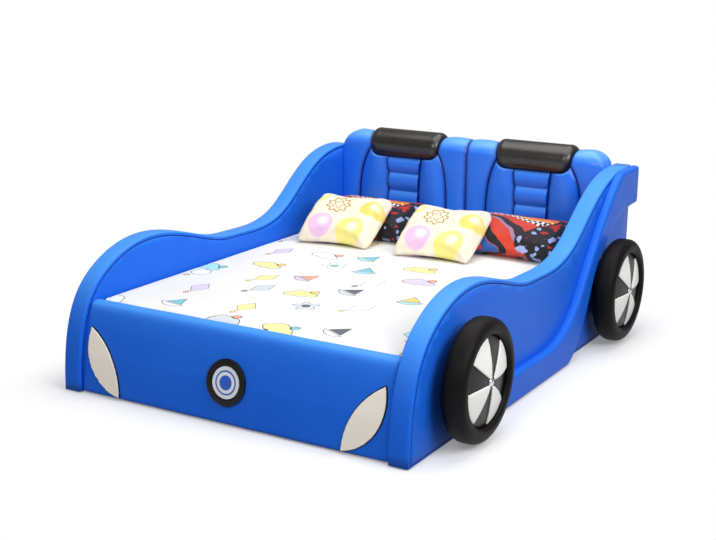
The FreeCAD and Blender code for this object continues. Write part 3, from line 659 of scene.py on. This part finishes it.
def plumped(bm, shrink, cap, frames=18, pressure=4.0):
    """Shrinks a closed bag a little and lets pressure fill it again."""
    swell(bm, -shrink)
    start = [v.co.copy() for v in bm.verts]
    holder = held(bm, "bag")
    cloth = holder.modifiers.new("cloth", "CLOTH")
    cloth.settings.quality = 5
    cloth.settings.mass = 0.3
    cloth.settings.bending_stiffness = 0.15
    cloth.settings.use_pressure = True
    cloth.settings.uniform_pressure_force = pressure
    cloth.settings.effector_weights.gravity = 0.0
    for frame_number in range(1, frames + 1):
        scene.frame_set(frame_number)
    filled = baked(holder)
    scene.frame_set(1)
    for vert, old in zip(filled.verts, start):
        moved = vert.co - old
        if moved.length > cap:
            vert.co = old + moved.normalized() * cap
    return filled


def round_corners(bm, centre, tilt, yaw, power=6.0, fullness=0.020):
    """Draws the corners in to a superellipse and fills the upper side out towards its edge."""
    turn = Matrix.Rotation(math.radians(yaw), 3, "Z") @ Matrix.Rotation(math.radians(tilt), 3, "X")
    back = turn.inverted()
    middle = Vector(centre)
    local = [back @ (vert.co - middle) for vert in bm.verts]
    wide = max(abs(co.x) for co in local)
    tall = max(abs(co.y) for co in local)
    for vert, co in zip(bm.verts, local):
        across, along = abs(co.x) / wide, abs(co.y) / tall
        reach = (across ** power + along ** power) ** (1 / power)
        if reach > 1:
            co.x /= reach
            co.y /= reach
        if co.z > 0:
            open_cloth = max(0.0, 1 - min(1.0, reach) ** power)
            co.z += fullness * open_cloth * max(across, along)
        vert.co = middle + turn @ co
    return bm


def pillow(node, name, material, tilt, yaw):
    """A plump bag in the place of one solid, on the body of the same name."""
    bm = remeshed(merged_copy(node), 0.009)
    relax(bm, 5)
    bm = round_corners(plumped(bm, 0.004, 0.018), middle_of(node), tilt, yaw)
    relax(bm, 2)
    made = piece(name, bm, material, node, (node,))
    finer = made.modifiers.new("finer", "SUBSURF")
    finer.levels = 1
    finer.render_levels = 1


print("helpers for the pillows")

# %% [markdown]
# ## Printed cotton
# The bedding is printed with loose shapes on a plain ground. A Voronoi texture in two
# dimensions deals the cloth into cells and gives each cell a centre and a random colour. The
# colour's channels choose the shape and the ink, and the distance from the centre draws it:
# every shape is a formula that is negative inside and positive outside, so one threshold fills
# it and another draws its dark outline.

# %% Shapes as distances
def star(x, y, size, points=5.0, depth=0.26):
    """A soft star: its radius swings with the angle."""
    reach = (x * x + y * y).math("SQRT")
    swing = (y.math("ARCTAN2", x) * points).math("COSINE")
    return reach - (swing * depth + (1.0 - depth)) * size


def disc(x, y, size):
    return (x * x + y * y).math("SQRT") - size


def kite(x, y, size):
    return x.math("ABSOLUTE") * 1.25 + y.math("ABSOLUTE") * 0.8 - size


def cloud(x, y, size):
    puffs = disc(x, y, size * 0.62)
    for across, height, share in ((-0.62, -0.12, 0.42), (0.62, -0.12, 0.44), (0.25, 0.28, 0.42)):
        puffs = puffs.math("MINIMUM", disc(x + across * size, y - height * size, size * share))
    return puffs


def block(x, y, half_width, half_height):
    return (x.math("ABSOLUTE") - half_width).math("MAXIMUM", y.math("ABSOLUTE") - half_height)


def balloon(x, y, size):
    """A balloon and its basket."""
    return disc(x, y - size * 0.32, size * 0.62), block(x, y + size * 0.72, size * 0.17, size * 0.14)


def boat(x, y, size):
    """A hull cut from a round, and a sail."""
    hull = disc(x, y - size * 0.3, size * 0.95).math("MAXIMUM", y + size * 0.22)
    sail = (x.math("ABSOLUTE") + (y - size * 0.95) * 0.55).math("MAXIMUM", 0.0 - (y + size * 0.1))
    return hull, sail


def sunny_cloud(x, y, size):
    return cloud(x, y, size), disc(x - size * 0.55, y - size * 0.62, size * 0.28)


def tailed_kite(x, y, size):
    return kite(x, y - size * 0.25, size * 0.75), kite(x + size * 0.1, y + size * 0.95, size * 0.2)


def flower(x, y, size):
    return star(x, y, size * 0.8, 5.0, 0.22), disc(x, y, size * 0.24)


def picked(chance, shapes):
    """One of several distances, chosen by a random number from 0 to 1."""
    total = None
    step = 1.0 / len(shapes)
    for index, shape in enumerate(shapes):
        here = chance.math("GREATER_THAN", index * step) * chance.math("LESS_THAN", (index + 1) * step)
        total = here * shape if total is None else total + here * shape
    return total


def inks(sheet, chance, colours):
    """A constant ramp that turns a random number into one of the inks."""
    stops = [(index / len(colours), tint) for index, tint in enumerate(colours)]
    return sheet.node("ShaderNodeValToRGB", {"stops": stops}, {"Fac": chance})


THREADS = 900.0


def weave(sheet, place):
    """Fine crossed threads."""
    x, y, z = sheet.split(place)
    return ((x + z) * THREADS).math("SINE") * 0.5 + ((y + z) * THREADS).math("SINE") * 0.5


def cotton(sheet, place, base, roughness, wander=0.06, gloss=0.25, creases=12.0):
    """Finishes a printed sheet as woven cloth with soft creases."""
    folds = sheet.bump(sheet.noise(place, creases, 3.0), 0.003, 0.5)
    return sheet.finish(
        Base_Color=base,
        Roughness=roughness + wander * sheet.noise(place, 40.0),
        Normal=sheet.bump(weave(sheet, place), 0.00012, normal=folds),
        Specular_IOR_Level=gloss,
        Sheen_Weight=0.1)


def laid_flat(sheet, place, centre, tilt, yaw):
    """The place as seen in the plane of something tilted and turned, from its middle."""
    return sheet.node("ShaderNodeMapping", {"vector_type": "TEXTURE"}, {
        "Vector": place, "Location": centre, "Rotation": (math.radians(tilt), 0.0, math.radians(yaw))})


print("shapes for the prints")

# %% The mattress cover
PRINT_TURN = 0.42                # radians, of the cells over the mattress
CELLS = {"Scale": 4.0, "Randomness": 0.6}
MOTIF_SIZE = 0.076


def mattress_print():
    """White cotton with a loose motif in most of its cells."""
    sheet = Sheet("mattress_print")
    place = sheet.place()
    flat = sheet.node("ShaderNodeMapping", {"vector_type": "TEXTURE"}, {
        "Vector": place, "Location": (0.31, 0.17, 0.0), "Rotation": (0.0, 0.0, PRINT_TURN)})
    cell, chance = (
        sheet.node("ShaderNodeTexVoronoi", {"voronoi_dimensions": "2D"}, {"Vector": flat, **CELLS}, out=out)
        for out in ("Position", "Color"))
    kind, ink, spare = sheet.split(chance)
    x, y, _ = sheet.split(sheet.node("ShaderNodeVectorMath", {"operation": "SUBTRACT"}, [flat, cell]))
    angle = (spare - 0.5) * 1.1 - PRINT_TURN
    cosine = angle.math("COSINE")
    sine = angle.math("SINE")
    motifs = [motif(x * cosine + y * sine, y * cosine - x * sine, MOTIF_SIZE)
              for motif in (balloon, boat, sunny_cloud, tailed_kite, flower)]
    main, trim = (picked(kind, part) for part in zip(*motifs))
    top = sheet.split(sheet.node("ShaderNodeNewGeometry", out="Normal"))[2]
    on_top = (1.0 - top.below(0.5, 0.2)) * spare.math("LESS_THAN", 0.8)
    line = main.math("ABSOLUTE").math("MINIMUM", trim.math("ABSOLUTE")).below(0.0019, 0.0014) * on_top
    body_tint = inks(sheet, ink, [
        colour(164, 222, 232), colour(244, 244, 240), colour(246, 232, 160), colour(214, 202, 232),
        colour(238, 240, 240), colour(206, 214, 218)])
    trim_tint = inks(sheet, (ink * 3.0).math("FRACT"), [
        colour(120, 196, 214), colour(244, 206, 120), colour(96, 102, 112), colour(232, 160, 140)])
    plain = sheet.mix(sheet.noise(place, 2.4), colour(238, 237, 234), colour(228, 227, 224))
    base = sheet.mix(main.below(0.0, 0.0012) * on_top, plain, body_tint)
    base = sheet.mix(trim.below(0.0, 0.0012) * on_top, base, trim_tint)
    base = sheet.mix(line, base, colour(52, 54, 64))
    return cotton(sheet, place, base, 0.82, creases=9.0)


mattress_cloth = mattress_print()
print(mattress_cloth.name)

# %% Cushion and pillow covers
def cushion_print(name, centre, yaw):
    """Cream cotton: the outline of a gold star, soft round blots and a red corner."""
    sheet = Sheet(name)
    place = sheet.place()
    x, y, _ = sheet.split(laid_flat(sheet, place, centre, CUSHION_TILT, yaw))
    base = sheet.mix(sheet.noise(place, 3.0), colour(243, 234, 214), colour(236, 224, 198))
    blots = [
        (0.150, 0.035, 0.066, colour(238, 212, 110)), (0.085, -0.125, 0.078, colour(240, 228, 132)),
        (-0.085, -0.105, 0.070, colour(232, 190, 224)), (-0.175, 0.105, 0.056, colour(242, 228, 140)),
        (-0.205, -0.045, 0.050, colour(244, 206, 150))]
    for across, along, size, tint in blots:
        edge = disc(x - across, y - along, size)
        base = sheet.mix(edge.below(-0.004, 0.012), base, tint)
        base = sheet.mix(disc(x - across - 0.012, y - along - 0.016, size * 0.38).below(0.0, 0.03) * 0.75,
                         base, colour(250, 246, 226))
    star_line = star(x + 0.040, y - 0.045, 0.062, 9.0, 0.12).math("ABSOLUTE").below(0.0046, 0.002)
    inner_line = star(x + 0.040, y - 0.045, 0.034, 5.0, 0.24).math("ABSOLUTE").below(0.0036, 0.002)
    base = sheet.mix(star_line.math("MAXIMUM", inner_line), base, colour(178, 136, 44))
    corner = cloud(x - 0.075, y - 0.175, 0.070)
    base = sheet.mix(corner.below(0.0, 0.002), base, colour(206, 62, 52))
    return cotton(sheet, place, base, 0.78)


def pillow_print(name, centre, yaw):
    """Red cotton with sweeps and a strip of checks, and a dark end with pale and red blots."""
    sheet = Sheet(name)
    place = sheet.place()
    flat = laid_flat(sheet, place, centre, PILLOW_TILT, yaw)
    x, y, _ = sheet.split(flat)
    drift = sheet.noise(flat, 3.6, 1.0) - 0.5
    sweep = y + x * 0.55 + drift * 0.30
    base = sheet.mix(sheet.noise(place, 6.5, 3.0), colour(222, 74, 44), colour(168, 30, 24))
    bands = [
        (0.125, 0.026, colour(232, 120, 40)), (0.085, 0.006, colour(246, 214, 96)),
        (-0.046, 0.022, colour(34, 24, 34)), (-0.078, 0.010, colour(150, 120, 150)),
        (-0.185, 0.020, colour(20, 18, 28)), (-0.228, 0.020, colour(44, 88, 160)),
        (0.215, 0.028, colour(30, 22, 26))]
    for middle, half, tint in bands:
        base = sheet.mix((sweep - middle).math("ABSOLUTE").below(half, 0.003), base, tint)
    checks = ((x * 60.0).math("FLOOR") + (sweep * 60.0).math("FLOOR")) * 0.5
    odd = checks.math("FRACT").math("GREATER_THAN", 0.25)
    strip = (sweep - 0.052).math("ABSOLUTE").below(0.017, 0.001)
    base = sheet.mix(strip, base, sheet.mix(odd, colour(240, 236, 228), colour(20, 18, 20)))
    night = 1.0 - (x + drift * 0.50).below(0.125, 0.012)
    blots = sheet.noise(flat, 13.0, 2.0)
    dark_end = sheet.mix(blots.below(0.60, 0.012), colour(148, 164, 214), colour(24, 18, 30))
    base = sheet.mix(night, base, dark_end)
    base = sheet.mix(night * blots.below(0.44, 0.012), base, colour(176, 34, 28))
    return cotton(sheet, place, base, 0.62, wander=0.08, gloss=0.35)


for side, yaw in YAW.items():
    node = "pillow_back_" + side
    cloth = pillow_print("pillow_print_" + side, middle_of(node), yaw)
    pillow(node, "red_pillow_" + side, cloth, PILLOW_TILT, yaw)
    node = "pillow_front_" + side
    cloth = cushion_print("cushion_print_" + side, middle_of(node), yaw)
    pillow(node, "cream_cushion_" + side, cloth, CUSHION_TILT, yaw)

# %% Mattress and its piping
PIPING = 0.0035                  # radius of the mattress's piping
PIPING_IN = 0.012                # how far it lies from the top and from the underside


def tube(name, points, radius, material, body):
    """A round piping cord along a closed line of points."""
    curve = bpy.data.curves.new(name, "CURVE")
    curve.dimensions = "3D"
    curve.bevel_depth = radius
    curve.bevel_resolution = 3
    run = curve.splines.new("POLY")
    run.points.add(len(points) - 1)
    for point, place in zip(run.points, points):
        point.co = (*place, 1.0)
    run.use_cyclic_u = True
    holder = bpy.data.objects.new(name + "_line", curve)
    scene.collection.objects.link(holder)
    return piece(name, baked(holder), material, body)


def rounded_rectangle(low, high, z, corner, steps=8):
    """Points round a rectangle with round corners, at one height."""
    points = []
    corners = ((high[0], high[1]), (low[0], high[1]), (low[0], low[1]), (high[0], low[1]))
    for turn, (x, y) in enumerate(corners):
        centre = (x - math.copysign(corner, x - (low[0] + high[0]) / 2),
                  y - math.copysign(corner, y - (low[1] + high[1]) / 2))
        for step in range(steps + 1):
            angle = math.pi / 2 * (turn + step / steps)
            points.append((centre[0] + corner * math.cos(angle), centre[1] + corner * math.sin(angle), z))
    return points


soft_pad("mattress", "mattress_pad", mattress_cloth, 0.012, 5, 0.0004, 0.0025,
         body="mattress")
low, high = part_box("mattress")
least = [low[axis] + PIPING for axis in (0, 1)]
most = [high[axis] - PIPING for axis in (0, 1)]
for name, z in (("mattress_piping_top", high[2] - PIPING_IN), ("mattress_piping_low", low[2] + PIPING_IN)):
    tube(name, rounded_rectangle(least, most, z, 0.03), PIPING, mattress_cloth, "mattress")

# %% [markdown]
# ## Wood, metal and plastic
# The boards under the leather, the slats and the fittings keep their solids and only get a
# finish. Wood grain is a stretched noise: long along the board and tight across it. Zinc plate
# has a fine brushed grain with small bright spangles, and moulded plastic a faint stipple.

# %% Finishes of the hard parts
def wood(name, pale, dark, stretch, roughness=0.6):
    """Grain that runs along the axis with the smallest stretch."""
    sheet = Sheet(name)
    place = sheet.place()
    long_place = sheet.node("ShaderNodeVectorMath", {"operation": "MULTIPLY"}, [place, stretch])
    rings = sheet.node("ShaderNodeTexWave", {"wave_type": "RINGS", "rings_direction": "SPHERICAL"}, {
        "Vector": long_place, "Scale": 1.6, "Distortion": 7.0, "Detail": 3.0})
    pores = sheet.noise(long_place, 34.0, 4.0)
    base = sheet.mix(rings * 0.6 + pores * 0.35, pale, dark)
    return sheet.finish(
        Base_Color=base,
        Roughness=roughness + 0.15 * (pores - 0.5),
        Normal=sheet.bump(pores, 0.0004),
        Specular_IOR_Level=0.3)


def darker(tint, share):
    return tuple(share * c for c in tint[:3]) + (1.0,)


def metal(name, tint, roughness, brushed=(6.0, 6.0, 160.0)):
    """Brushed lines across the axis with the largest stretch, and small bright spangles."""
    sheet = Sheet(name)
    place = sheet.place()
    drawn_out = sheet.node("ShaderNodeVectorMath", {"operation": "MULTIPLY"}, [place, brushed])
    lines = sheet.noise(drawn_out, 8.0, 3.0)
    spangle = sheet.node("ShaderNodeTexVoronoi", None, {"Vector": place, "Scale": 260.0}, out="Color")
    base = sheet.mix(sheet.split(spangle)[0] * 0.4, tint, darker(tint, 0.8))
    return sheet.finish(
        Base_Color=base,
        Roughness=roughness + 0.18 * (lines - 0.5),
        Normal=sheet.bump(lines, 0.00008),
        Metallic=1.0)


def moulded(name, tint, roughness):
    """Plastic with a fine stipple and a few scuffs."""
    sheet = Sheet(name)
    place = sheet.place()
    stipple = sheet.noise(place, 900.0, 2.0)
    scuffs = sheet.noise(place, 22.0, 4.0)
    base = sheet.mix(scuffs * 0.5, tint, darker(tint, 0.7))
    return sheet.finish(
        Base_Color=base,
        Roughness=roughness + 0.12 * (scuffs - 0.5),
        Normal=sheet.bump(stipple, 0.00006))


def badge_print():
    """White face with a plain blue ring about a blue middle."""
    sheet = Sheet("badge_face")
    place = sheet.place()
    centre = middle_of("badge_disc")
    x, _, z = sheet.split(sheet.node("ShaderNodeVectorMath", {"operation": "SUBTRACT"}, [place, centre]))
    paint = colour(30, 92, 196)
    reach = (x * x + z * z).math("SQRT")
    silver = sheet.mix(sheet.noise(place, 30.0), colour(238, 240, 242), colour(222, 226, 230))
    base = sheet.mix(reach.below(0.030, 0.0012), silver, paint)
    base = sheet.mix((reach - 0.047).math("ABSOLUTE").below(0.0035, 0.0012), base, paint)
    return sheet.finish(
        Base_Color=base,
        Roughness=0.30 + 0.08 * sheet.noise(place, 60.0),
        Normal=sheet.bump(sheet.noise(place, 500.0), 0.00005))


plywood = wood("plywood", colour(214, 178, 128), colour(164, 120, 72), (1.2, 1.2, 9.0))
plywood_black = wood("plywood_black", colour(30, 29, 28), colour(20, 19, 19), (1.2, 1.2, 9.0))
pine_across = wood("pine_slats", colour(232, 202, 150), colour(196, 152, 96), (1.0, 9.0, 9.0))
pine_along = wood("pine_rails", colour(228, 196, 142), colour(190, 146, 92), (9.0, 1.0, 9.0))
zinc = metal("zinc_steel", colour(176, 180, 184), 0.38)
chrome = metal("hub_chrome", colour(222, 226, 232), 0.12, (30.0, 30.0, 30.0))
glide = moulded("glide_plastic", colour(44, 44, 46), 0.5)
badge = badge_print()
HARD = {
    "side_core_left": plywood, "side_core_right": plywood, "footboard_core": plywood,
    "headboard_core": plywood, "wheel_board_front": plywood_black, "wheel_board_rear": plywood_black,
    "slats": pine_across, "slat_rail_left": pine_along, "slat_rail_right": pine_along,
    "center_beam": pine_along, "center_legs": pine_along, "corner_brackets": zinc, "bed_bolts": zinc,
    "floor_glides": glide, "wheel_hub_front": chrome, "wheel_hub_rear": chrome, "badge_disc": badge,
}
for node, material in HARD.items():
    solid = nodes[node]
    solid.data.materials.clear()
    solid.data.materials.append(material)
print("finished", len(HARD), "solids")

# %% [markdown]
# ## Floor and light
# The picture was taken in a white studio. The floor is a plain pale sheet whose colour, not
# extra light, makes the background white: for rays that come straight from the camera or off
# something shiny it mixes in plain white, fully from 0.4 m off the bed and by a fifth beside
# it, so it still holds the bed's own shadow and shows no horizon.

# %% Studio
HALF_BED = (0.90, 1.13)
BESIDE = 0.20                    # share of white mixed in right beside the bed


def studio_floor():
    """A pale sheet under the bed that turns plain white around it."""
    bm = bmesh.new()
    bmesh.ops.create_grid(bm, x_segments=2, y_segments=2, size=14.0)
    mesh = bpy.data.meshes.new("floor")
    bm.to_mesh(mesh)
    bm.free()
    floor = bpy.data.objects.new("floor", mesh)
    scene.collection.objects.link(floor)
    sheet = Sheet("floor_paper")
    x, y, _ = sheet.split(sheet.place())
    over_x, over_y = (
        (axis.math("ABSOLUTE") - half).math("MAXIMUM", 0.0) for axis, half in zip((x, y), HALF_BED))
    away = (over_x * over_x + over_y * over_y).math("SQRT")
    far = 1.0 - away.below(0.20, 0.40)
    rays = {out: Value(sheet, sheet.node("ShaderNodeLightPath").socket.node.outputs[out])
            for out in ("Is Camera Ray", "Is Glossy Ray", "Is Transmission Ray")}
    seen = rays["Is Camera Ray"].math("MAXIMUM", rays["Is Glossy Ray"])
    seen = seen.math("MAXIMUM", rays["Is Transmission Ray"])
    paper = sheet.mix(seen, (0.20, 0.20, 0.20, 1.0), (0.93, 0.93, 0.93, 1.0))
    sheet.finish(Base_Color=paper, Roughness=1.0, Specular_IOR_Level=0.0)
    glow = sheet.node("ShaderNodeEmission", None, {"Color": (1, 1, 1, 1), "Strength": 1.0})
    blend = sheet.node("ShaderNodeMixShader", None, {"Fac": seen * (far * (1.0 - BESIDE) + BESIDE)})
    mixer = blend.socket.node
    sheet.tree.links.new(sheet.shader.outputs[0], mixer.inputs[1])
    sheet.tree.links.new(glow.socket, mixer.inputs[2])
    out = sheet.tree.nodes["Material Output"]
    sheet.tree.links.new(mixer.outputs[0], out.inputs["Surface"])
    mesh.materials.append(sheet.material)


def soft_box(name, place, target, size, power):
    """A rectangular lamp that faces its target."""
    lamp = bpy.data.lights.new(name, "AREA")
    lamp.shape = "RECTANGLE"
    lamp.size = size[0]
    lamp.size_y = size[1]
    lamp.energy = power
    holder = bpy.data.objects.new(name, lamp)
    scene.collection.objects.link(holder)
    holder.location = place
    aim = Vector(target) - Vector(place)
    holder.rotation_euler = aim.to_track_quat("-Z", "Y").to_euler()


def studio_world():
    """Even grey light all round, which the camera itself sees as plain white."""
    world = bpy.data.worlds.new("studio")
    scene.world = world
    world.use_nodes = True
    tree = world.node_tree
    base = tree.nodes["Background"]
    base.inputs["Color"].default_value = (1.0, 1.0, 1.0, 1.0)
    base.inputs["Strength"].default_value = 0.34
    plain = tree.nodes.new("ShaderNodeBackground")
    plain.inputs["Color"].default_value = (1.0, 1.0, 1.0, 1.0)
    path = tree.nodes.new("ShaderNodeLightPath")
    mixer = tree.nodes.new("ShaderNodeMixShader")
    tree.links.new(path.outputs["Is Camera Ray"], mixer.inputs["Fac"])
    tree.links.new(base.outputs[0], mixer.inputs[1])
    tree.links.new(plain.outputs[0], mixer.inputs[2])
    tree.links.new(mixer.outputs[0], tree.nodes["World Output"].inputs["Surface"])


studio_floor()
studio_world()
soft_box("top_light", (0.3, 0.6, 4.2), (0, 0.1, 0.3), (4.5, 4.0), 130)
soft_box("key_light", (4.2, -1.6, 3.2), (0.2, -0.1, 0.3), (3.0, 2.4), 140)
soft_box("front_fill", (0.6, -5.2, 3.6), (-0.1, 0.2, 0.4), (3.2, 2.0), 90)
scene.view_settings.view_transform = "Standard"
print("floor, world and three soft boxes")
